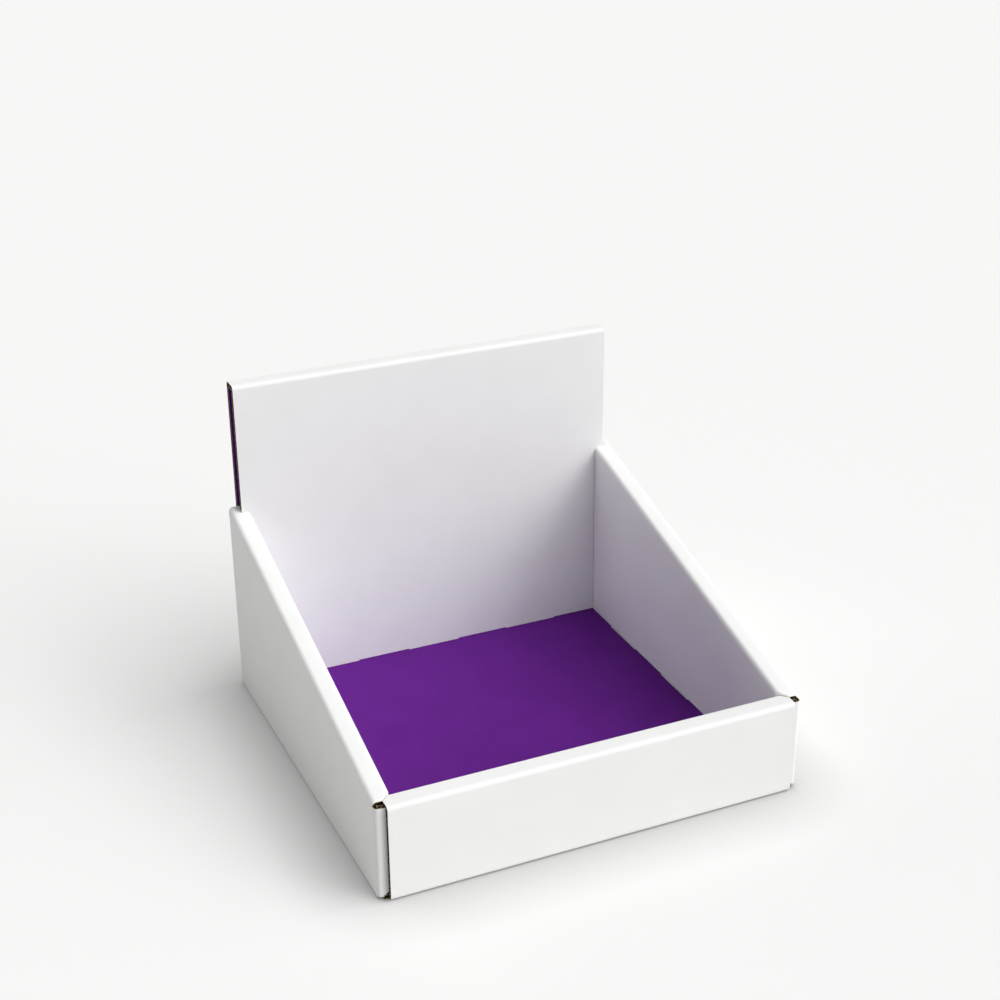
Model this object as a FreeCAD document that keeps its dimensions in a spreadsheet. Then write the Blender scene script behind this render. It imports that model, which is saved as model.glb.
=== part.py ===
import FreeCAD, Part
import math
import os
import re
import Sketcher

# A counter display tray folded from one die-cut blank of corrugated board.
# Millimetres, +Z up, front towards -Y, origin under the middle of the floor.

# Driving sizes
SIZES = {
    "width": 300.0,             # over the two sides
    "depth": 298.0,             # over the front panel and the header
    "front_height": 69.0,       # top of the front wall
    "side_height": 145.0,       # top of the side walls at their rear end
    "header_height": 238.0,     # top of the header
    "slope_setback": 6.6,       # from the front and rear faces to the ends of the slope
    "board": 3.4,               # thickness of the board
    "crease": 0.3,              # inside radius of every fold
    "liner": 0.4,               # thickness of the paper on each face of the board
    "medium": 0.3,              # thickness of the fluted paper between
    "flute_pitch": 5.6,
    "flute_depth": 5.0,         # how far in the flutes are open at the raw ends
    "front_wall": 15.0,         # over both plies of the front wall
    "side_wall": 13.5,          # over both plies of a side wall
    "back_wall": 14.3,          # over both plies of the header
    "front_inset": 6.9,         # from the side to the raw end of the front panel
    "header_inset": 7.2,        # from the side to the raw end of the header
    "flap_length": 92.0,        # from the side to the free end of a dust flap
    "flap_ease": 0.6,           # between a dust flap and the panel outside it
    "flap_lift": 2.4,           # under the dust flaps
    "flap_chamfer": 9.0,        # cut corners of the dust flaps
    "corner_drop": 2.1,         # from the front wall's top to the corner's raw top edge
    "corner_relief": 1.0,       # from the corner fold to the end of the side's top strip
    "tab_width": 41.0,          # lock tabs at the foot of the inner plies
    "tab_spacing": 81.5,
    "tab_count": 3.0,
    "tab_lift": 0.2,            # tabs stop this far above the table
    "slot_ease": 0.8,           # a slot runs this far into the tray past its ply
    "fold_gap": 0.25,           # between plies and edges that only meet
    "overlap": 2.0,             # how far a modelled feature runs into its neighbour
}

# Sizes that follow from the driving ones
BEND = "(board + crease)"
RISE = "((side_height - front_height) / (depth - 2 * slope_setback))"
FLAP_FACE = "(board + flap_ease)"
CORNER = f"({FLAP_FACE} + {BEND})"
PLY_START = "(2 * board + flap_ease + fold_gap)"
STRIP_START = f"({CORNER} + corner_relief)"
MITRE_TIP = f"({STRIP_START} - fold_gap - front_wall + side_wall)"
FIRST_TAB = "(tab_spacing * (tab_count - 1) / 2)"
PLY_FOOT = "(board + fold_gap)"


doc = FreeCAD.newDocument("display_tray")
sheet = doc.addObject("Spreadsheet::Sheet", "Sizes")
for row, (name, size) in enumerate(SIZES.items(), start=1):
    sheet.set(f"A{row}", name)
    sheet.set(f"B{row}", str(size))
    sheet.setAlias(f"B{row}", name)
doc.recompute()


def formula(text):
    """Points every size name in the text at its cell."""
    return re.sub(r"[a-z_]+", lambda word: f"Sizes.{word[0]}" if word[0] in SIZES else word[0], text)


def value(text):
    return float(sheet.evalExpression(formula(text)))


def left(inset):
    """X at a distance inside the left face."""
    return f"-(width / 2 - {inset})"


def right(inset):
    return f"(width / 2 - {inset})"


def front(inset):
    """Y at a distance behind the front face."""
    return f"-(depth / 2 - {inset})"


def back(inset):
    """Y at a distance in front of the rear face."""
    return f"(depth / 2 - {inset})"


def slope(distance):
    """Height of a side wall's top at a distance behind the front face."""
    return f"(front_height + ({distance} - slope_setback) * {RISE})"


SHOULDER = f"({slope('(depth - back_wall)')} + fold_gap)"   # underside of the header's inner ply


# Sketch helpers

def new_sketch(body, name, role, lift="0"):
    sketch = body.newObject("Sketcher::SketchObject", name)
    plane = next(item for item in body.Origin.OriginFeatures if item.Role == role)
    sketch.AttachmentSupport = [(plane, "")]
    sketch.MapMode = "FlatFace"
    sketch.setExpression("AttachmentOffset.Base.z", formula(lift))
    return sketch


def pin(sketch, axis, line, text):
    """Holds the start of a line at its distance from the sketch origin."""
    held = Sketcher.Constraint(f"Distance{axis}", -1, 1, line, 1, value(text))
    index = sketch.addConstraint(held)
    sketch.setExpression(f"Constraints[{index}]", formula(text))


def polygon(sketch, corners):
    """A closed outline with straight edges; each corner is a pair of formulas."""
    first = sketch.GeometryCount
    spots = [FreeCAD.Vector(value(x), value(y), 0) for x, y in corners]
    for start, end in zip(spots, spots[1:] + spots[:1]):
        sketch.addGeometry(Part.LineSegment(start, end))
    for step, (x, y) in enumerate(corners):
        line = first + step
        following = first + (step + 1) % len(corners)
        sketch.addConstraint(Sketcher.Constraint("Coincident", line, 2, following, 1))
        pin(sketch, "X", line, x)
        pin(sketch, "Y", line, y)


def rectangle(sketch, x_low, x_high, y_low, y_high):
    polygon(sketch, [(x_low, y_low), (x_high, y_low), (x_high, y_high), (x_low, y_high)])


def square_arc(corner, heading_in, heading_out, radius):
    """The quarter circle that rounds a square corner, and whether it runs backwards."""
    start = corner - heading_in * radius
    end = corner + heading_out * radius
    middle = start + heading_out * radius
    clockwise = heading_in.cross(heading_out).z < 0
    arm = (end if clockwise else start) - middle
    angle = math.atan2(arm.y, arm.x)
    circle = Part.Circle(middle, FreeCAD.Vector(0, 0, 1), radius)
    return Part.ArcOfCircle(circle, angle, angle + math.pi / 2), start, end, clockwise


def folded_outline(sketch, corners):
    """A closed outline of level and upright edges; a corner with a radius is a fold."""
    count = len(corners)
    spots = [FreeCAD.Vector(value(x), value(y), 0) for x, y, _ in corners]
    headings = [(spots[(i + 1) % count] - spots[i]).normalize() for i in range(count)]
    starts, ends, arcs = list(spots), [spots[(i + 1) % count] for i in range(count)], []
    for i, (_, _, radius) in enumerate(corners):
        if radius:
            bend = square_arc(spots[i], headings[i - 1], headings[i], value(radius))
            arcs.append((i, bend[0], bend[3], radius))
            ends[i - 1], starts[i] = bend[1], bend[2]
    lines = [sketch.addGeometry(Part.LineSegment(*ends_of)) for ends_of in zip(starts, ends)]
    for i, heading in enumerate(headings):
        level = abs(heading.x) > abs(heading.y)
        sketch.addConstraint(Sketcher.Constraint("Horizontal" if level else "Vertical", lines[i]))
        pin(sketch, "Y" if level else "X", lines[i], corners[i][1] if level else corners[i][0])
        if not corners[i][2]:
            sketch.addConstraint(Sketcher.Constraint("Coincident", lines[i - 1], 2, lines[i], 1))
    for i, arc, clockwise, radius in arcs:
        geometry = sketch.addGeometry(arc)
        near, far = (2, 1) if clockwise else (1, 2)
        sketch.addConstraint(Sketcher.Constraint("Tangent", lines[i - 1], 2, geometry, near))
        sketch.addConstraint(Sketcher.Constraint("Tangent", geometry, far, lines[i], 1))
        index = sketch.addConstraint(Sketcher.Constraint("Radius", geometry, value(radius)))
        sketch.setExpression(f"Constraints[{index}]", formula(radius))


# Feature helpers

def extrude(body, kind, sketch, name, length, side="One side"):
    feature = body.newObject(f"PartDesign::{kind}", name)
    feature.Profile = sketch
    feature.SideType = side
    feature.setExpression("Length", formula(length))
    body.Tip = feature
    return feature


def pad(body, sketch, name, length, side="One side"):
    return extrude(body, "Pad", sketch, name, length, side)


def pocket(body, sketch, name, length):
    return extrude(body, "Pocket", sketch, name, length)


def repeat(body, feature, axis_role, spacing, count):
    row = body.newObject("PartDesign::LinearPattern", f"{feature.Name}_row")
    row.Originals = [feature]
    axis = next(item for item in body.Origin.OriginFeatures if item.Role == axis_role)
    row.Direction = (axis, [""])
    row.setExpression("Length", formula(f"{spacing} * ({count} - 1)"))
    row.setExpression("Occurrences", formula(count))
    row.Refine = False
    body.Tip = row


def tab_row(body, feature, axis_role):
    """Repeats a tab or slot at the tab spacing along one axis."""
    repeat(body, feature, axis_role, "tab_spacing", "tab_count")


# Floor, front wall and header, which fold about axes along X

def wall_outline(sketch, place, wall, height):
    """A roll-over wall in section: up from the floor, over the top, down inside."""
    run_in = f"({BEND} + overlap)"
    folded_outline(sketch, [
        (place(run_in), "0", None),
        (place("0"), "0", BEND),
        (place("0"), height, BEND),
        (place(wall), height, BEND),
        (place(wall), PLY_FOOT, None),
        (place(f"({wall} - board)"), PLY_FOOT, None),
        (place(f"({wall} - board)"), f"({height} - board)", "crease"),
        (place("board"), f"({height} - board)", "crease"),
        (place("board"), "board", "crease"),
        (place(run_in), "board", None),
    ])


def add_floor(body):
    sketch = new_sketch(body, "floor_outline", "XY_Plane")
    rectangle(sketch, left(BEND), right(BEND), front(BEND), back(BEND))
    pad(body, sketch, "floor", "board")


def add_front_wall(body):
    sketch = new_sketch(body, "front_section", "YZ_Plane")
    wall_outline(sketch, front, "front_wall", "front_height")
    pad(body, sketch, "front_wall", "width - 2 * front_inset", "Symmetric")
    mitre_front_strip(body)
    trim_front_inner_ply(body)


def mitre_front_strip(body):
    """Cuts the ends of the top strip at 45 degrees to meet the side strips."""
    sketch = new_sketch(body, "front_mitre_outline", "XY_Plane", "front_height")
    outer = "(front_inset - overlap)"
    inner = "(side_wall + fold_gap)"
    cut_behind = "(front_wall + overlap)"
    for across in (left, right):
        polygon(sketch, [
            (across(outer), front(f"(front_wall - {inner} + {outer})")),
            (across(inner), front("front_wall")),
            (across(inner), front(cut_behind)),
            (across(outer), front(cut_behind)),
        ])
    pocket(body, sketch, "front_mitre", BEND)


def trim_front_inner_ply(body):
    """Ends the inner ply square, between the inner plies of the sides."""
    sketch = new_sketch(body, "front_ply_trim_outline", "XY_Plane", f"front_height - {BEND}")
    for across in (left, right):
        rectangle(sketch, across("(front_inset - overlap)"), across("(side_wall + fold_gap)"),
                  front("(front_wall - board - crease)"), front("(front_wall + overlap)"))
    pocket(body, sketch, "front_ply_trim", f"front_height - {BEND} - board")


def add_header(body):
    sketch = new_sketch(body, "header_section", "YZ_Plane")
    wall_outline(sketch, back, "back_wall", "header_height")
    pad(body, sketch, "header", "width - 2 * header_inset", "Symmetric")
    cut_header_shoulders(body)


def cut_header_shoulders(body):
    """Narrows the header's inner ply below the side walls' top strips."""
    face = f"-{back('(back_wall + overlap)')}"
    sketch = new_sketch(body, "shoulder_outline", "XZ_Plane", face)
    outer, inner = "(header_inset - overlap)", "(side_wall + fold_gap)"
    for across in (left, right):
        folded_outline(sketch, [
            (across(outer), "board", None),
            (across(inner), "board", None),
            (across(inner), SHOULDER, f"({BEND} + fold_gap)"),
            (across(outer), SHOULDER, None),
        ])
    pocket(body, sketch, "shoulders", "board + 2 * overlap")


def drop_right_half(body):
    """The right half is the mirror image, so the flutes are only cut at the left ends."""
    sketch = new_sketch(body, "right_half_outline", "YZ_Plane", "width / 2")
    rectangle(sketch, front("(0 - overlap)"), back("(0 - overlap)"),
              "(0 - overlap)", "(header_height + overlap)")
    pocket(body, sketch, "right_half", "width / 2")


def add_flutes(body, name, at_depth, low, high, inset):
    """Opens the flutes at the raw end of a flat ply, pointing in and out by turns."""
    count = f"floor(({high} - {low}) / flute_pitch - 1 / 2)"
    first = f"({low} + ({high} - {low} - ({count} + 1 / 2) * flute_pitch) / 2)"
    under, over = at_depth("liner"), at_depth("(board - liner)")
    sketch = new_sketch(body, f"{name}_outline", "YZ_Plane", left(inset))
    polygon(sketch, [
        (under, f"({first} + medium)"),
        (under, f"({first} + flute_pitch - medium)"),
        (at_depth("(board - liner - medium)"), f"({first} + flute_pitch / 2)"),
    ])
    polygon(sketch, [
        (over, f"({first} + flute_pitch / 2 + medium)"),
        (over, f"({first} + flute_pitch * 3 / 2 - medium)"),
        (at_depth("(liner + medium)"), f"({first} + flute_pitch)"),
    ])
    flute = pocket(body, sketch, name, "flute_depth")
    flute.Reversed = True
    flute.Refine = False
    repeat(body, flute, "Z_Axis", "flute_pitch", count)


def add_all_flutes(body):
    header_top = f"(header_height - {BEND})"
    add_flutes(body, "front_flute", front, BEND, f"(front_height - {BEND})", "front_inset")
    add_flutes(body, "header_outer_flute", back, BEND, header_top, "header_inset")
    add_flutes(body, "header_inner_flute", lambda depth: back(f"(back_wall - {depth})"),
               SHOULDER, header_top, "header_inset")


def add_slots(body):
    """Slots in the floor along all four inner plies, for the lock tabs."""
    half = "(tab_width / 2 + fold_gap)"
    low, high = f"(-{FIRST_TAB} - {half})", f"(-{FIRST_TAB} + {half})"
    sketch = new_sketch(body, "side_slot_outline", "XY_Plane", "board")
    for across in (left, right):
        rectangle(sketch, across("(side_wall - board - fold_gap)"),
                  across("(side_wall + slot_ease)"), low, high)
    tab_row(body, pocket(body, sketch, "side_slot", "board"), "Y_Axis")
    sketch = new_sketch(body, "end_slot_outline", "XY_Plane", "board")
    for place, wall in ((front, "front_wall"), (back, "back_wall")):
        rectangle(sketch, low, high, place(f"({wall} - board - fold_gap)"),
                  place(f"({wall} + slot_ease)"))
    tab_row(body, pocket(body, sketch, "end_slot", "board"), "X_Axis")


def add_end_tabs(body):
    """Lock tabs at the foot of the front and header inner plies."""
    sketch = new_sketch(body, "end_tab_outline", "YZ_Plane", f"-{FIRST_TAB} - tab_width / 2")
    for place, wall in ((front, "front_wall"), (back, "back_wall")):
        rectangle(sketch, place(wall), place(f"({wall} - board)"),
                  "tab_lift", f"({PLY_FOOT} + overlap)")
    tab_row(body, pad(body, sketch, "end_tab", "tab_width"), "X_Axis")


def make_lengthwise_fold():
    body = doc.addObject("PartDesign::Body", "lengthwise_fold")
    add_floor(body)
    add_front_wall(body)
    add_header(body)
    add_slots(body)
    add_end_tabs(body)
    drop_right_half(body)
    add_all_flutes(body)
    return body


# Left side wall with its dust flaps, which fold about axes along Y and Z

def add_side_foot(body):
    """The fold from the floor up into the side."""
    sketch = new_sketch(body, "foot_section", "XZ_Plane")
    run_on = f"({BEND} + overlap)"
    folded_outline(sketch, [
        (left(run_on), "0", None),
        (left("0"), "0", BEND),
        (left("0"), run_on, None),
        (left("board"), run_on, None),
        (left("board"), "board", "crease"),
        (left(run_on), "board", None),
    ])
    pad(body, sketch, "foot", f"depth - 2 * {STRIP_START}", "Symmetric")


def add_side_ply(body, name, lift, start, foot):
    """A flat ply of the side wall, with its top edge along the slope."""
    fold_line = f"({BEND} + overlap / 2)"
    sketch = new_sketch(body, f"{name}_outline", "YZ_Plane", lift)
    finish = f"(depth - {start})"
    polygon(sketch, [
        (front(start), foot),
        (front(finish), foot),
        (front(finish), f"({slope(finish)} - {fold_line})"),
        (front(start), f"({slope(start)} - {fold_line})"),
    ])
    pad(body, sketch, name, "board")


def add_side_cap(body):
    """The roll-over along the sloping top, square to the slope."""
    sketch = new_sketch(body, "cap_section", "XZ_Plane")
    sketch.AttachmentOffset = FreeCAD.Placement(
        FreeCAD.Vector(), FreeCAD.Rotation(FreeCAD.Vector(1, 0, 0), 1))
    sketch.setExpression("AttachmentOffset.Rotation.Angle", formula(f"atan({RISE})"))
    sketch.setExpression("AttachmentOffset.Base.y", formula(slope("depth")))
    sketch.setExpression("AttachmentOffset.Base.z", formula("-depth / 2"))
    leg = f"-({BEND} + overlap)"
    folded_outline(sketch, [
        (left("0"), leg, None),
        (left("0"), "0", BEND),
        (left("side_wall"), "0", BEND),
        (left("side_wall"), leg, None),
        (left("(side_wall - board)"), leg, None),
        (left("(side_wall - board)"), "-board", "crease"),
        (left("board"), "-board", "crease"),
        (left("board"), leg, None),
    ])
    pad(body, sketch, "cap", f"depth * sqrt(1 + {RISE} * {RISE})")


def trim_side_cap(body):
    """Ends the cap square at the rear, and with a mitre at the front."""
    sketch = new_sketch(body, "cap_trim_outline", "XY_Plane", "header_height")
    outside = "(0 - overlap)"
    inside = "(side_wall + overlap)"
    polygon(sketch, [
        (left(outside), front(outside)),
        (left(outside), front(STRIP_START)),
        (left(MITRE_TIP), front(STRIP_START)),
        (left(inside), front("(front_wall + fold_gap + overlap)")),
        (left(inside), front(outside)),
    ])
    rectangle(sketch, left(outside), left(inside), back("slope_setback"), back(f"(0 - 2 * {BEND})"))
    pocket(body, sketch, "cap_trim", "header_height - front_height / 2")


def add_side_tabs(body):
    sketch = new_sketch(body, "side_tab_outline", "YZ_Plane", left("(side_wall - board)"))
    rectangle(sketch, f"(-{FIRST_TAB} - tab_width / 2)", f"(-{FIRST_TAB} + tab_width / 2)",
              "tab_lift", f"({PLY_FOOT} + overlap)")
    tab_row(body, pad(body, sketch, "side_tab", "board"), "Y_Axis")


def add_dust_flap(body, name, place, corner_top, flap_top):
    """The upright fold at a corner and the dust flap that it carries."""
    inner_face = f"({FLAP_FACE} + board)"
    stub = f"({BEND} + fold_gap)"
    sketch = new_sketch(body, f"{name}_corner_section", "XY_Plane", "flap_lift")
    folded_outline(sketch, [
        (left("0"), place(STRIP_START), None),
        (left("0"), place(FLAP_FACE), BEND),
        (left(stub), place(FLAP_FACE), None),
        (left(stub), place(inner_face), None),
        (left("board"), place(inner_face), "crease"),
        (left("board"), place(STRIP_START), None),
    ])
    pad(body, sketch, f"{name}_corner", f"{corner_top} - flap_lift")
    step = "(front_inset - fold_gap)"
    lift = f"-{place(FLAP_FACE)}" if place is front else f"-{place(inner_face)}"
    sketch = new_sketch(body, f"{name}_flap_outline", "XZ_Plane", lift)
    polygon(sketch, [
        (left(BEND), "flap_lift"),
        (left(stub), "flap_lift"),
        (left(f"({stub} + flap_chamfer)"), "(flap_lift + flap_chamfer)"),
        (left("flap_length"), "(flap_lift + flap_chamfer)"),
        (left("flap_length"), f"({flap_top} - flap_chamfer)"),
        (left("(flap_length - flap_chamfer)"), flap_top),
        (left(f"({step} + {corner_top} - {flap_top})"), flap_top),
        (left(step), corner_top),
        (left(BEND), corner_top),
    ])
    flap = extrude(body, "Pad", sketch, f"{name}_flap", "board")
    flap.Reversed = True


def make_side_fold():
    body = doc.addObject("PartDesign::Body", "side_fold")
    add_side_foot(body)
    add_side_ply(body, "outer_ply", left("0"), STRIP_START, BEND)
    add_side_cap(body)
    trim_side_cap(body)
    add_side_ply(body, "inner_ply", left("(side_wall - board)"), PLY_START, PLY_FOOT)
    add_side_tabs(body)
    rear_top = f"({slope(f'(depth - {CORNER})')} - {BEND} - flap_ease)"
    add_dust_flap(body, "front", front, "(front_height - corner_drop)",
                  "(front_height - board - flap_ease)")
    add_dust_flap(body, "rear", back, rear_top, f"({rear_top} - corner_drop)")
    return body


# The whole tray

def join(name, items):
    joined = doc.addObject("Part::MultiFuse", name)
    joined.Shapes = items
    joined.Refine = True
    return joined


def make_tray():
    left_half = join("left_half", [make_lengthwise_fold(), make_side_fold()])
    right_half = doc.addObject("Part::Mirroring", "right_half_image")
    right_half.Source = left_half
    right_half.Normal = FreeCAD.Vector(1, 0, 0)
    tray = join("tray", [left_half, right_half])
    tray.Label = "folded_tray"
    return tray


def check(item):
    broken = [entry.Name for entry in doc.Objects if {"Invalid", "Error"} & set(entry.State)]
    if broken:
        raise RuntimeError(f"these features failed: {broken}")
    if item.Shape.isNull() or not item.Shape.isValid() or len(item.Shape.Solids) != 1:
        raise RuntimeError(f"{item.Label} is not one sound solid")


tray = make_tray()
doc.recompute()
check(tray)
os.makedirs("parts", exist_ok=True)
tray.Shape.exportStep(f"parts/{tray.Label}.step")
box = tray.Shape.BoundBox
print(f"{tray.Label}: {box.XLength:.2f} x {box.YLength:.2f} x {box.ZLength:.2f} mm,",
      f"volume {tray.Shape.Volume:.0f} mm3, lowest {box.ZMin:.3f}")
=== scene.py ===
import math

import bmesh
import bpy
import numpy as np
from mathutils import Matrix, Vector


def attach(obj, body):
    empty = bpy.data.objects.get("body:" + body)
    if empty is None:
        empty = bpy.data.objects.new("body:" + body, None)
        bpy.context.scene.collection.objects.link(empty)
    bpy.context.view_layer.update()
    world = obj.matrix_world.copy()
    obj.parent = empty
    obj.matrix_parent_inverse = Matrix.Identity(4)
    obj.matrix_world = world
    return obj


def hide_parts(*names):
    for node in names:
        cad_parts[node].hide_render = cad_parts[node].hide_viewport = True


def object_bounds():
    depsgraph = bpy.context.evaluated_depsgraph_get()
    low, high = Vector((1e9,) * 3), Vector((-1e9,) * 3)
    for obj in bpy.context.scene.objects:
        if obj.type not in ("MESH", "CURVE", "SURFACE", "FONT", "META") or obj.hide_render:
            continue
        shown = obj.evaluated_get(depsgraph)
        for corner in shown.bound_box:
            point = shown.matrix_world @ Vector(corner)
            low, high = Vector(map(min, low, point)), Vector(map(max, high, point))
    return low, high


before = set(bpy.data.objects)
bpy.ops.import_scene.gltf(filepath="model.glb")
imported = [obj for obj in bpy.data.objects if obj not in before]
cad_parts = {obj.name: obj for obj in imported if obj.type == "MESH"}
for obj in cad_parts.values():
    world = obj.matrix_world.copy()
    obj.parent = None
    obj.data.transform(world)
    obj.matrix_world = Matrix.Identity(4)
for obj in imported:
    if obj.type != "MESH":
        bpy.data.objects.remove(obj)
cad_low, cad_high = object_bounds()

# Sizes in millimetres, as in the part's source.
# a runs from the left face to the right, b from the front face to the rear, z is up.
PER_METRE = 1000      # millimetres in a metre
WIDTH, DEPTH, HEADER_HEIGHT = [PER_METRE * size for size in cad_high - cad_low]
FRONT_HEIGHT, SIDE_HEIGHT, SETBACK = 69.0, 145.0, 6.6
BOARD, BEND = 3.4, 3.7
FRONT_WALL, SIDE_WALL, BACK_WALL = 15.0, 13.5, 14.3
FRONT_INSET, HEADER_INSET = 6.9, 7.2
FLAP_LENGTH, FLAP_EASE, FLAP_LIFT, FLAP_CHAMFER = 92.0, 0.6, 2.4, 9.0
FLAP_FACE = BOARD + FLAP_EASE
CORNER = FLAP_FACE + BEND
CORNER_DROP = 2.1
CORNER_RELIEF = 1.0   # a side wall has its full height from this far past its corner folds
STRIP_START = CORNER + CORNER_RELIEF
GAP = 0.25
MITRE_SHIFT = FRONT_WALL + GAP - SIDE_WALL
PLY_START = 2 * BOARD + FLAP_EASE + GAP
PLY_FOOT = BOARD + GAP
TAB_WIDTH, TAB_SPACING, TAB_LIFT, SLOT_EASE = 41.0, 81.5, 0.2, 0.8
RISE = (SIDE_HEIGHT - FRONT_HEIGHT) / (DEPTH - 2 * SETBACK)
STEEP = math.hypot(1, RISE)
LINER, MEDIUM, FLUTE = 0.4, 0.3, 5.6
FOLD_STEPS, WAVE_STEPS, PRESSED_STEPS = 10, 12, 6
SQUARENESS = 2.5      # 2 rounds the outside of a fold as a circle, more makes it squarer
PRESSED = 1.2         # the sides' top strips are pressed down over this length at the mitre
CAP_LEG = BEND + 2.0  # how far the mesh of a side's top strip runs down its walls
CAP_MEDIUM = 14.0     # the medium in a top strip is drawn this far in from its open ends
TABS = [(c - TAB_WIDTH / 2, c + TAB_WIDTH / 2) for c in (-TAB_SPACING, 0, TAB_SPACING)]
TAB_EDGES = [edge for tab in TABS for edge in tab]


def slope(b):
    return FRONT_HEIGHT + (b - SETBACK) * RISE


class Fold:
    """Board in section: runs joined by square folds that all turn one way.

    The corners are those of the outside face. Lengths are along the board's middle.
    The folds at the corners numbered in rounded stay round outside.
    """

    def __init__(self, corners, rounded=()):
        corners = [np.array(corner, float) for corner in corners]
        self.parts, self.length = [], 0.0
        last = len(corners) - 2
        for i, (start, end) in enumerate(zip(corners, corners[1:])):
            heading = (end - start) / np.linalg.norm(end - start)
            inward = np.array([heading[1], -heading[0]])
            begin = start + heading * (BEND if i else 0)
            finish = end - heading * (BEND if i < last else 0)
            self.add("run", np.linalg.norm(finish - begin), begin, heading, inward)
            if i < last:
                bend_length = (BEND - BOARD / 2) * math.pi / 2
                power = 2 if i + 1 in rounded else SQUARENESS
                self.add("fold", bend_length, finish + inward * BEND, heading, inward, power)

    def add(self, kind, length, origin, heading, inward, power=2):
        self.parts.append((kind, self.length, length, origin, heading, inward, power))
        self.length += length

    def at(self, s, depth):
        """The point at a length along the board and a depth under its outside face."""
        kind, start, length, origin, heading, inward, power = next(
            (part for part in self.parts if s <= part[1] + part[2]), self.parts[-1])
        if kind == "run":
            return origin + heading * (s - start) + inward * depth
        turn = (s - start) / length * math.pi / 2
        outward = heading * math.sin(turn) - inward * math.cos(turn)
        turn_sine, turn_cosine = max(math.sin(turn), 0), max(math.cos(turn), 0)
        fuller = (turn_sine ** power + turn_cosine ** power) ** (-1 / power)
        fullness = 1 + (fuller - 1) * (1 - depth / BOARD)
        return origin + outward * (BEND - depth) * fullness

    def stops(self, first, last, extra=()):
        """Lengths that draw the parts numbered first to last, folds in small steps."""
        found = set(extra)
        for kind, start, length, *_ in self.parts[first:last + 1]:
            steps = FOLD_STEPS if kind == "fold" else 1
            found.update(start + length * i / steps for i in range(steps + 1))
        return sorted(found)

    def start_of(self, part):
        return self.parts[part][1]

    def end_of(self, part):
        return self.parts[part][1] + self.parts[part][2]


class Paper:
    """Collects closed plates of paper for one mesh."""

    SHARP_ANGLE = math.radians(30)

    def __init__(self, name, materials):
        self.name, self.materials = name, materials
        self.spots, self.faces, self.kinds, self.across = [], [], [], []

    def plate(self, us, vs, spot, across, near, far, keep=None):
        """A plate over a grid; spot gives a point from u, v and a side of the paper.

        near and far are (side, material); the cut edges take the last material.
        """
        rows, columns, first = len(us), len(vs), len(self.spots)
        for side in (near[0], far[0]):
            for u in us:
                for v in vs:
                    a, b, z = spot(u, v, side)
                    self.spots.append(((a - WIDTH / 2) / PER_METRE, (b - DEPTH / 2) / PER_METRE,
                                       z / PER_METRE))
                    self.across.append(across(u, v))

        def number(i, j, layer):
            return first + layer * rows * columns + i * columns + j

        def kept(i, j):
            inside = 0 <= i < rows - 1 and 0 <= j < columns - 1
            if not inside or keep is None:
                return inside
            return keep((us[i] + us[i + 1]) / 2, (vs[j] + vs[j + 1]) / 2)

        for i in range(rows - 1):
            for j in range(columns - 1):
                if not kept(i, j):
                    continue
                ring = [(i, j), (i + 1, j), (i + 1, j + 1), (i, j + 1)]
                self.face([number(*corner, 0) for corner in ring], near[1])
                self.face([number(*corner, 1) for corner in reversed(ring)], far[1])
                beyond = [(i, j - 1), (i + 1, j), (i, j + 1), (i - 1, j)]
                for k, cell in enumerate(beyond):
                    if not kept(*cell):
                        p, q = ring[k], ring[(k + 1) % 4]
                        self.face([number(*q, 0), number(*p, 0), number(*p, 1), number(*q, 1)],
                                  len(self.materials) - 1)

    def face(self, corners, material):
        self.faces.append(corners)
        self.kinds.append(material)

    def finish(self):
        mesh = bpy.data.meshes.new(self.name)
        mesh.from_pydata(self.spots, [], self.faces)
        for material in self.materials:
            mesh.materials.append(material)
        mesh.polygons.foreach_set("material_index", self.kinds)
        flute = mesh.attributes.new("across", "FLOAT", "POINT")
        flute.data.foreach_set("value", self.across)
        work = bmesh.new()
        work.from_mesh(mesh)
        bmesh.ops.recalc_face_normals(work, faces=work.faces)
        work.to_mesh(mesh)
        work.free()
        mesh.polygons.foreach_set("use_smooth", [True] * len(mesh.polygons))
        mesh.set_sharp_from_angle(angle=self.SHARP_ANGLE)
        piece = bpy.data.objects.new(self.name, mesh)
        bpy.context.scene.collection.objects.link(piece)
        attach(piece, "root")
        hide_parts("folded_tray")


# Materials

MOTTLE, PRINT_GRAIN = 35, 1600         # noise scales of the printed liners
FIBRES, PAPER_GRAIN = 900, 2500        # noise scales of raw paper
DARK_END, LIGHT_END = 0.3, 0.7         # where the noise reaches a tint's two colours


def principled(name, roughness, specular):
    material = bpy.data.materials.new(name)
    material.use_nodes = True
    nodes, links = material.node_tree.nodes, material.node_tree.links
    shader = nodes["Principled BSDF"]
    shader.inputs["Roughness"].default_value = roughness
    shader.inputs["Specular IOR Level"].default_value = specular
    return material, nodes, links, shader


def math_node(nodes, links, operation, *values):
    """A Math node; each value is a number or another node's output."""
    node = nodes.new("ShaderNodeMath")
    node.operation = operation
    for socket, value in zip(node.inputs, values):
        if isinstance(value, (int, float)):
            socket.default_value = value
        else:
            links.new(value, socket)
    return node.outputs[0]


def noise(nodes, links, scale, detail, stretch=(1, 1, 1)):
    place = nodes.new("ShaderNodeTexCoord")
    mapping = nodes.new("ShaderNodeMapping")
    mapping.inputs["Scale"].default_value = stretch
    texture = nodes.new("ShaderNodeTexNoise")
    texture.inputs["Scale"].default_value = scale
    texture.inputs["Detail"].default_value = detail
    links.new(place.outputs["Object"], mapping.inputs["Vector"])
    links.new(mapping.outputs["Vector"], texture.inputs["Vector"])
    return texture.outputs["Fac"]


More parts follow.
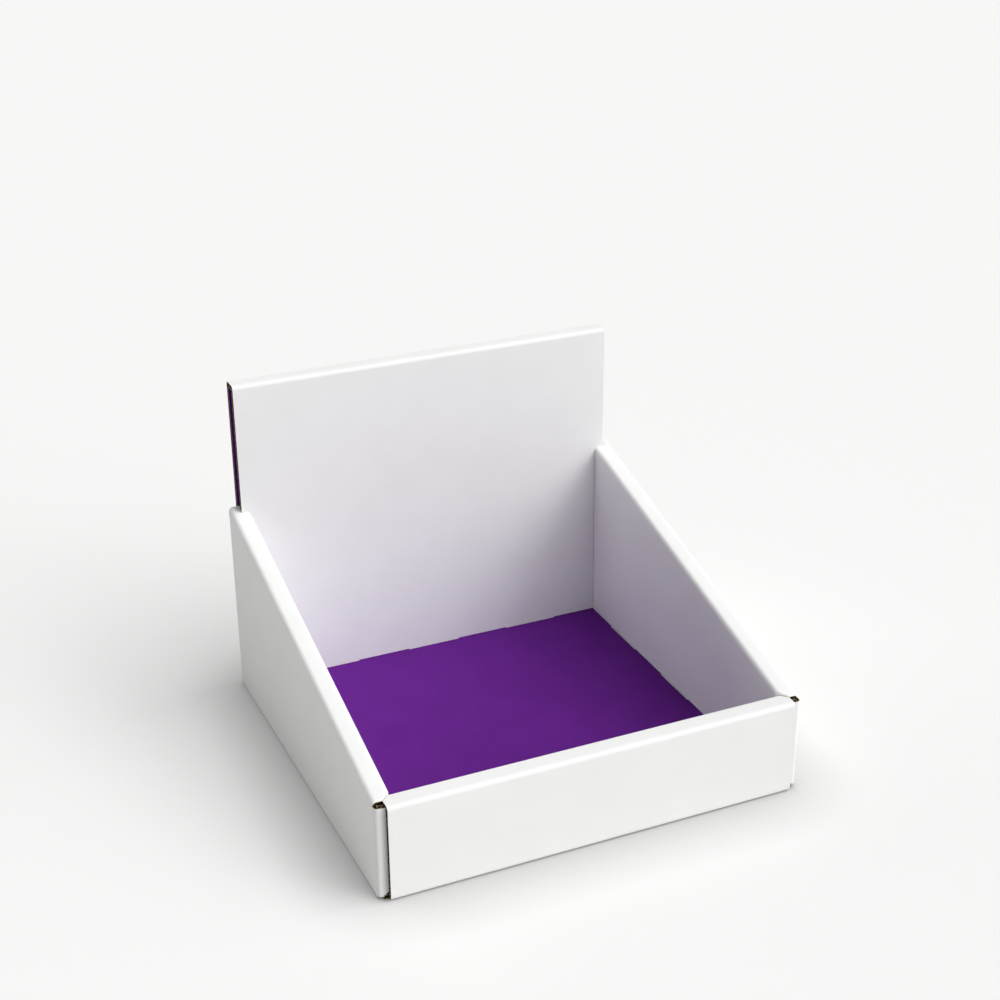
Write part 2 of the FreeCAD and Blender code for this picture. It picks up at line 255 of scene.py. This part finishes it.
def tint(nodes, links, shader, factor, dark, light):
    ramp = nodes.new("ShaderNodeValToRGB")
    stops = ramp.color_ramp.elements
    for stop, place, colour in zip(stops, (DARK_END, LIGHT_END), (dark, light)):
        stop.position, stop.color = place, (*colour, 1)
    links.new(factor, ramp.inputs["Fac"])
    links.new(ramp.outputs["Color"], shader.inputs["Base Color"])


def relief(nodes, links, shader, layers):
    """Chains bump layers, each a height, its distance in metres and its strength."""
    normal = None
    for height, distance, strength in layers:
        bump = nodes.new("ShaderNodeBump")
        bump.inputs["Distance"].default_value = distance
        bump.inputs["Strength"].default_value = strength
        links.new(height, bump.inputs["Height"])
        if normal:
            links.new(normal, bump.inputs["Normal"])
        normal = bump.outputs["Normal"]
    links.new(normal, shader.inputs["Normal"])


def washboard(nodes, links):
    """The faint ripple that the flutes leave in a liner."""
    across = nodes.new("ShaderNodeAttribute")
    across.attribute_name = "across"
    turns = math_node(nodes, links, "MULTIPLY", across.outputs["Fac"], 2 * math.pi / FLUTE)
    return math_node(nodes, links, "SINE", turns)


def printed(name, dark, light, roughness, specular):
    material, nodes, links, shader = principled(name, roughness, specular)
    tint(nodes, links, shader, noise(nodes, links, MOTTLE, 5), dark, light)
    relief(nodes, links, shader, [
        (washboard(nodes, links), 0.00001, 0.5),
        (noise(nodes, links, PRINT_GRAIN, 3), 0.00002, 0.25),
    ])
    return material


def raw_paper(name, dark, light):
    material, nodes, links, shader = principled(name, 0.9, 0.2)
    tint(nodes, links, shader, noise(nodes, links, FIBRES, 6, (1, 1, 0.3)), dark, light)
    relief(nodes, links, shader, [(noise(nodes, links, PAPER_GRAIN, 4), 0.00005, 0.4)])
    return material


WHITE = printed("white_print", (0.918, 0.918, 0.910), (0.940, 0.940, 0.934), 0.55, 0.35)
PURPLE = printed("purple_print", (0.107, 0.0118, 0.211), (0.121, 0.0136, 0.238), 0.8, 0.1)
# The medium and the liners' inner faces are kraft brown darkened to near black: painted shade of
# the flute hollows.
KRAFT_IN_PAINTED_SHADE = raw_paper("kraft_darkened_as_painted_shade", (0.020, 0.013, 0.006), (0.034, 0.022, 0.010))
EDGE = raw_paper("cut_paper_edge", (0.34, 0.27, 0.15), (0.50, 0.40, 0.24))

outside = Paper("outside_liner", [WHITE, KRAFT_IN_PAINTED_SHADE, EDGE])
inside = Paper("inside_liner", [PURPLE, KRAFT_IN_PAINTED_SHADE, EDGE])
core = Paper("fluted_medium", [KRAFT_IN_PAINTED_SHADE, EDGE])


def first_across(u, v):
    """The flutes run along v, so u counts across them."""
    return u


def second_across(u, v):
    """The flutes run along u, so v counts across them."""
    return v


def board(us, vs, spot, across, keep=None):
    """Both liners of a stretch of board; spot takes u, v and the depth."""
    outside.plate(us, vs, spot, across, (0, 0), (LINER, 1), keep)
    inside.plate(us, vs, spot, across, (BOARD, 0), (BOARD - LINER, 1), keep)


def flutes(start, end, vs, spot):
    """The medium between two lengths across the flutes, as a wave of constant thickness."""
    swing = (BOARD - 2 * LINER - MEDIUM) / 2
    turn = 2 * math.pi / FLUTE
    count = max(2, math.ceil((end - start) / FLUTE * WAVE_STEPS))
    us = [start + (end - start) * i / count for i in range(count + 1)]

    def wave(u, v, side):
        rate = swing * turn * math.cos(turn * u)
        tilt = side / math.hypot(1, rate)
        along = min(max(u - rate * tilt, start), end)
        return spot(along, v, BOARD / 2 + swing * math.sin(turn * u) + tilt)

    core.plate(us, vs, wave, first_across, (-MEDIUM / 2, 0), (MEDIUM / 2, 0))


# The lengthwise fold: header, floor and front wall in one line

line = Fold([
    (DEPTH - BACK_WALL, TAB_LIFT), (DEPTH - BACK_WALL, HEADER_HEIGHT), (DEPTH, HEADER_HEIGHT),
    (DEPTH, 0), (0, 0), (0, FRONT_HEIGHT), (FRONT_WALL, FRONT_HEIGHT), (FRONT_WALL, TAB_LIFT),
], rounded=(3, 4))
# Parts of the line by number: runs are even, the folds between them odd.
HEADER_PARTS, FRONT_PARTS = (1, 5), (7, 11)
FRONT_TOP, FRONT_INNER = 10, 12
SHOULDER = slope(DEPTH - BACK_WALL) + GAP
ROUNDING = BEND + GAP


def lengthwise(inset):
    """Points of the lengthwise fold; v runs from 0 at the left end to 1 at the right."""
    def spot(s, v, depth):
        b, z = line.at(s, depth)
        start = inset(b, z)
        return start + v * (WIDTH - 2 * start), b, z
    return spot


def along_line(s, v, depth):
    """Points of the lengthwise fold; v is the distance from the tray's middle."""
    b, z = line.at(s, depth)
    return v + WIDTH / 2, b, z


def header_end(b, z):
    return HEADER_INSET


def shoulder_end(b, z):
    """Under its shoulders the header's inner ply widens in a quarter circle."""
    rise = z - SHOULDER + ROUNDING
    return SIDE_WALL + GAP - ROUNDING + math.sqrt(max(ROUNDING ** 2 - rise ** 2, 0))


def front_end(b, z):
    """The front wall ends square, and at 45 degrees where its top meets the side's."""
    return max(FRONT_INSET, b - FRONT_WALL + SIDE_WALL + GAP)


def make_inner_ply(foot, top, tip):
    """An inner ply of the front wall or the header, with its lock tabs."""
    limits = sorted([-tip, tip] + TAB_EDGES)
    tab_length = PLY_FOOT - TAB_LIFT
    lifts = sorted({foot, top, foot + tab_length * (1 if top > foot else -1)})

    def keep(s, v):
        return abs(s - foot) > tab_length or any(low < v < high for low, high in TABS)

    board(lifts, limits, along_line, first_across, keep)
    for tab in TABS:
        flutes(min(foot, top), max(foot, top), tab, along_line)
    clear = sorted([lifts[1], top])
    for between in zip([-tip] + TAB_EDGES[1::2], TAB_EDGES[::2] + [tip]):
        flutes(*clear, between, along_line)


def make_lengthwise():
    shoulder = SHOULDER - TAB_LIFT
    narrow_top = shoulder - ROUNDING
    inner_tip = WIDTH / 2 - SIDE_WALL - GAP
    make_inner_ply(0, narrow_top, inner_tip)
    turns = [math.pi / 2 * i / FOLD_STEPS for i in range(FOLD_STEPS + 1)]
    widening = [narrow_top + ROUNDING * math.sin(turn) for turn in turns]
    board(widening, (0, 1), lengthwise(shoulder_end), first_across)
    flutes(narrow_top, shoulder, (0, 1), lengthwise(shoulder_end))
    header = [shoulder] + line.stops(*HEADER_PARTS)
    board(header, (0, 1), lengthwise(header_end), first_across)
    flutes(shoulder, header[-1], (0, 1), lengthwise(header_end))
    front_mitre = line.start_of(FRONT_TOP) + FRONT_INSET + FRONT_WALL - SIDE_WALL - GAP - BEND
    front = line.stops(*FRONT_PARTS, (front_mitre,))
    board(front, (0, 1), lengthwise(front_end), first_across)
    flutes(front[0], front[-1], (0, 1), lengthwise(front_end))
    make_inner_ply(line.length, line.start_of(FRONT_INNER), inner_tip)


def make_floor():
    half_slot = TAB_WIDTH / 2 + GAP
    spans = [(c - half_slot, c + half_slot) for c in (-TAB_SPACING, 0, TAB_SPACING)]
    edges = [edge for span in spans for edge in span]
    side_slot = (WIDTH / 2 - SIDE_WALL - SLOT_EASE, WIDTH / 2 - SIDE_WALL + BOARD + GAP)
    front_slot = (FRONT_WALL - BOARD - GAP, FRONT_WALL + SLOT_EASE)
    rear_slot = (DEPTH - BACK_WALL - SLOT_EASE, DEPTH - BACK_WALL + BOARD + GAP)
    a_lines = sorted([-WIDTH / 2 + BEND, WIDTH / 2 - BEND] + edges
                     + [sign * edge for sign in (-1, 1) for edge in side_slot])
    b_lines = sorted([BEND, DEPTH - BEND, *front_slot, *rear_slot]
                     + [edge + DEPTH / 2 for edge in edges])

    def keep(b, a):
        beside = any(low < b - DEPTH / 2 < high for low, high in spans)
        between = any(low < a < high for low, high in spans)
        in_side = side_slot[0] < abs(a) < side_slot[1]
        in_end = front_slot[0] < b < front_slot[1] or rear_slot[0] < b < rear_slot[1]
        return not (in_side and beside) and not (in_end and between)

    def spot(b, a, depth):
        return a + WIDTH / 2, b, depth

    board(b_lines, a_lines, spot, first_across, keep)
    flutes(rear_slot[1], DEPTH - BEND, (a_lines[0], a_lines[-1]), spot)
    flutes(front_slot[1], rear_slot[0], (-side_slot[0], side_slot[0]), spot)
    flutes(BEND, front_slot[0], (a_lines[0], a_lines[-1]), spot)


# The side walls with their dust flaps

def make_side(mirrored):
    def place(a, b, z):
        return (WIDTH - a if mirrored else a), b, z

    cap = Fold([(0, -CAP_LEG), (0, 0), (SIDE_WALL, 0), (SIDE_WALL, -CAP_LEG)])
    cap_end = DEPTH - SETBACK
    mitre_tip = STRIP_START - MITRE_SHIFT

    def cap_start(a):
        return max(STRIP_START, a + MITRE_SHIFT)

    def cap_place(a, b, drop):
        """The end at the mitre is pressed down to the height of the front wall."""
        near = max(0, 1 - (b - cap_start(a)) / PRESSED) ** 2
        return place(a, b, slope(b) - near * (slope(b) - FRONT_HEIGHT) + drop * STEEP)

    def cap_spot(s, v, depth):
        a, drop = cap.at(s, depth)
        return cap_place(a, cap_start(a) + v * (cap_end - cap_start(a)), drop)

    def cap_wave(b, s, depth):
        a, drop = cap.at(s, depth)
        return cap_place(a, max(b, cap_start(a)), drop)

    tip_stop = cap.start_of(2) + mitre_tip - BEND
    stops = cap.stops(0, 4, (tip_stop,))
    spans = [PRESSED / DEPTH * i / PRESSED_STEPS for i in range(PRESSED_STEPS + 2)] + [1]
    board(stops, spans, cap_spot, lambda u, v: v * DEPTH)
    flutes(STRIP_START, CAP_MEDIUM, stops, cap_wave)
    flutes(cap_end - CAP_MEDIUM, cap_end, stops, cap_wave)

    foot = Fold([(2 * BEND, 0), (0, 0), (0, 2 * BEND)], rounded=(1,))

    def foot_spot(s, b, depth):
        a, z = foot.at(s, depth)
        return place(a, b, z)

    foot_ends = (STRIP_START, DEPTH - STRIP_START)
    board(foot.stops(1, 1), foot_ends, foot_spot, second_across)

    def make_ply(face, inward, start, low, tabs):
        """A flat ply; u is 0 at the table, 1 at its foot and 2 at its top."""
        def spot(u, b, depth):
            top = slope(b) - CAP_LEG * STEEP
            z = TAB_LIFT + u * (low - TAB_LIFT) if u <= 1 else low + (u - 1) * (top - low)
            return place(face + inward * depth, b, z)
        ends = [start, DEPTH - start]
        middle = DEPTH / 2
        columns = sorted(ends + [edge + middle for edge in TAB_EDGES] if tabs else ends)

        def keep(u, b):
            return u > 1 or any(near < b - middle < far for near, far in TABS)

        board((0, 1, 2) if tabs else (1, 2), columns, spot, second_across, keep)

    make_ply(SIDE_WALL, -1, PLY_START, PLY_FOOT, True)
    make_ply(0, 1, STRIP_START, BEND, False)

    rear_top = slope(DEPTH - CORNER) - BEND - FLAP_EASE
    front_top = FRONT_HEIGHT - CORNER_DROP
    step = FRONT_INSET - GAP
    wrap = Fold([(FLAP_LENGTH, FLAP_FACE), (0, FLAP_FACE), (0, DEPTH - FLAP_FACE),
                 (FLAP_LENGTH, DEPTH - FLAP_FACE)])

    def heights(a, b):
        """Lowest and highest point of the sheet at a place in plan."""
        front = b < DEPTH / 2
        corner_top = front_top if front else rear_top
        flap_top = FRONT_HEIGHT - FLAP_FACE if front else rear_top - CORNER_DROP
        if min(b, DEPTH - b) > STRIP_START:
            return BEND, slope(b) - BEND * STEEP
        if min(b, DEPTH - b) >= CORNER:
            return FLAP_LIFT, corner_top
        low = FLAP_LIFT + min(max(a - BEND - GAP, 0), FLAP_CHAMFER)
        high = min(corner_top, max(flap_top, corner_top - max(a - step, 0)))
        return low, min(high, flap_top - FLAP_CHAMFER + FLAP_LENGTH - a)

    def wrap_spot(s, v, depth):
        a, b = wrap.at(s, depth)
        low, high = heights(*wrap.at(s, 0))
        return place(a, b, low + v * (high - low))

    breaks = [BEND + GAP, BEND + GAP + FLAP_CHAMFER, step, step + CORNER_DROP,
              FLAP_LENGTH - FLAP_CHAMFER, FLAP_LENGTH]
    front_stops = [FLAP_LENGTH - a for a in breaks] + [wrap.start_of(2) + CORNER_RELIEF]
    board(wrap.stops(0, 1, front_stops), (0, 1), wrap_spot, first_across)
    rear_stops = [wrap.start_of(4) + a - BEND for a in breaks] + [wrap.end_of(2) - CORNER_RELIEF]
    board(wrap.stops(3, 4, rear_stops), (0, 1), wrap_spot, first_across)
    flutes(0, wrap.length, (0, 1), wrap_spot)


make_lengthwise()
make_floor()
make_side(False)
make_side(True)
for paper in (outside, inside, core):
    paper.finish()


# Studio

BACKGROUND = (0.95, 0.95, 0.944)
FLOOR_SEEN = (0.98, 0.98, 0.973)      # the floor's colour as the camera sees it
FLOOR_LIT = (0.68, 0.68, 0.673)       # the floor's colour for the light it sends on
FLOOR_HALF, FLOOR_DROP = 30.0, 0.00005
GLOW_SHARE = 0.3                      # how much of the seen floor is plain background
PAINTED_SHADE_REACH = 0.055                 # metres over which the floor is coloured darker beside the tray, a painted contact shade
# Strength of the painted contact shade on the floor.
PAINTED_CONTACT_SHADE = 0.72
SKY = 0.24                            # the even light from all round
LENS, LENS_SHIFT = 65.465, (-0.035415, 0.025582)
CAMERA_PLACE = (-0.444787, -1.008349, 0.690629)
CAMERA_DOWN, CAMERA_TURN = 25.606, -24.915


def seen_directly(nodes, links):
    """1 where the camera, a reflection or a clear material sees the surface."""
    path = nodes.new("ShaderNodeLightPath")
    largest = path.outputs["Is Camera Ray"]
    for name in ("Is Glossy Ray", "Is Transmission Ray"):
        largest = math_node(nodes, links, "MAXIMUM", largest, path.outputs[name])
    return largest


def painted_contact_shade(nodes, links):
    """Painted contact shade: how much darker the floor is coloured where the tray stands close
    over it, from an occlusion term.
    """
    contact = nodes.new("ShaderNodeAmbientOcclusion")
    contact.inputs["Distance"].default_value = PAINTED_SHADE_REACH
    covered = math_node(nodes, links, "SUBTRACT", 1.0, contact.outputs["AO"])
    return math_node(nodes, links, "MULTIPLY", covered, PAINTED_CONTACT_SHADE)


def make_floor_plane():
    mesh = bpy.data.meshes.new("studio_floor")
    corners = [(-1, -1), (1, -1), (1, 1), (-1, 1)]
    spots = [(x * FLOOR_HALF, y * FLOOR_HALF, -FLOOR_DROP) for x, y in corners]
    mesh.from_pydata(spots, [], [(0, 1, 2, 3)])
    floor = bpy.data.objects.new("studio_floor", mesh)
    bpy.context.scene.collection.objects.link(floor)
    material, nodes, links, shader = principled("studio_floor", 0.9, 0.0)
    mix = nodes.new("ShaderNodeMix")
    mix.data_type = "RGBA"
    mix.inputs["A"].default_value = (*FLOOR_LIT, 1)
    mix.inputs["B"].default_value = (*FLOOR_SEEN, 1)
    seen = seen_directly(nodes, links)
    links.new(seen, mix.inputs["Factor"])
    links.new(mix.outputs["Result"], shader.inputs["Base Color"])
    glow = nodes.new("ShaderNodeEmission")
    glow.inputs["Color"].default_value = (*BACKGROUND, 1)
    glow.inputs["Strength"].default_value = 1.0
    blend = nodes.new("ShaderNodeMixShader")
    links.new(math_node(nodes, links, "MULTIPLY", seen, GLOW_SHARE), blend.inputs[0])
    links.new(shader.outputs[0], blend.inputs[1])
    links.new(glow.outputs[0], blend.inputs[2])
    # The second shader of this mix is left out, which is black.
    # Painted contact shade: near the tray the seen floor is mixed toward black by the occlusion
    # term.
    shaded = nodes.new("ShaderNodeMixShader")
    shade = math_node(nodes, links, "MULTIPLY", painted_contact_shade(nodes, links), seen)
    links.new(shade, shaded.inputs[0])
    links.new(blend.outputs[0], shaded.inputs[1])
    links.new(shaded.outputs[0], nodes["Material Output"].inputs["Surface"])
    mesh.materials.append(material)


def make_world():
    world = bpy.data.worlds.new("studio")
    world.use_nodes = True
    nodes, links = world.node_tree.nodes, world.node_tree.links
    light = nodes["Background"]
    light.inputs["Color"].default_value = (1, 1, 1, 1)
    light.inputs["Strength"].default_value = SKY
    shown = nodes.new("ShaderNodeBackground")
    shown.inputs["Color"].default_value = (*BACKGROUND, 1)
    shown.inputs["Strength"].default_value = 1.0
    mix = nodes.new("ShaderNodeMixShader")
    links.new(seen_directly(nodes, links), mix.inputs[0])
    links.new(light.outputs[0], mix.inputs[1])
    links.new(shown.outputs[0], mix.inputs[2])
    links.new(mix.outputs[0], nodes["World Output"].inputs["Surface"])
    bpy.context.scene.world = world


def make_lamp(name, height, turn, strength, spread=40):
    """A broad soft lamp; height and turn are in degrees, and 90 is to the tray's right."""
    lamp = bpy.data.lights.new(name, "SUN")
    lamp.energy = math.pi * strength
    lamp.angle = math.radians(spread)
    holder = bpy.data.objects.new(name, lamp)
    bpy.context.scene.collection.objects.link(holder)
    holder.rotation_euler = (math.radians(90 - height), 0, math.radians(turn))


def make_camera():
    data = bpy.data.cameras.new("camera")
    data.sensor_width = 36.0
    data.lens = LENS
    data.shift_x, data.shift_y = LENS_SHIFT
    data.clip_start, data.clip_end = 0.05, 100.0
    camera = bpy.data.objects.new("camera", data)
    camera.location = CAMERA_PLACE
    camera.rotation_euler = (math.radians(90 - CAMERA_DOWN), 0, math.radians(CAMERA_TURN))
    bpy.context.scene.collection.objects.link(camera)
    bpy.context.scene.camera = camera


make_floor_plane()
make_world()
make_lamp("key", 55, 45, 0.55, 55)
make_lamp("side", 35, 72, 0.25, 55)
make_lamp("low", 15, 36, 0.225)
make_lamp("rear", 15, 216, 0.175)
make_camera()
bpy.context.scene.view_settings.view_transform = "Standard"
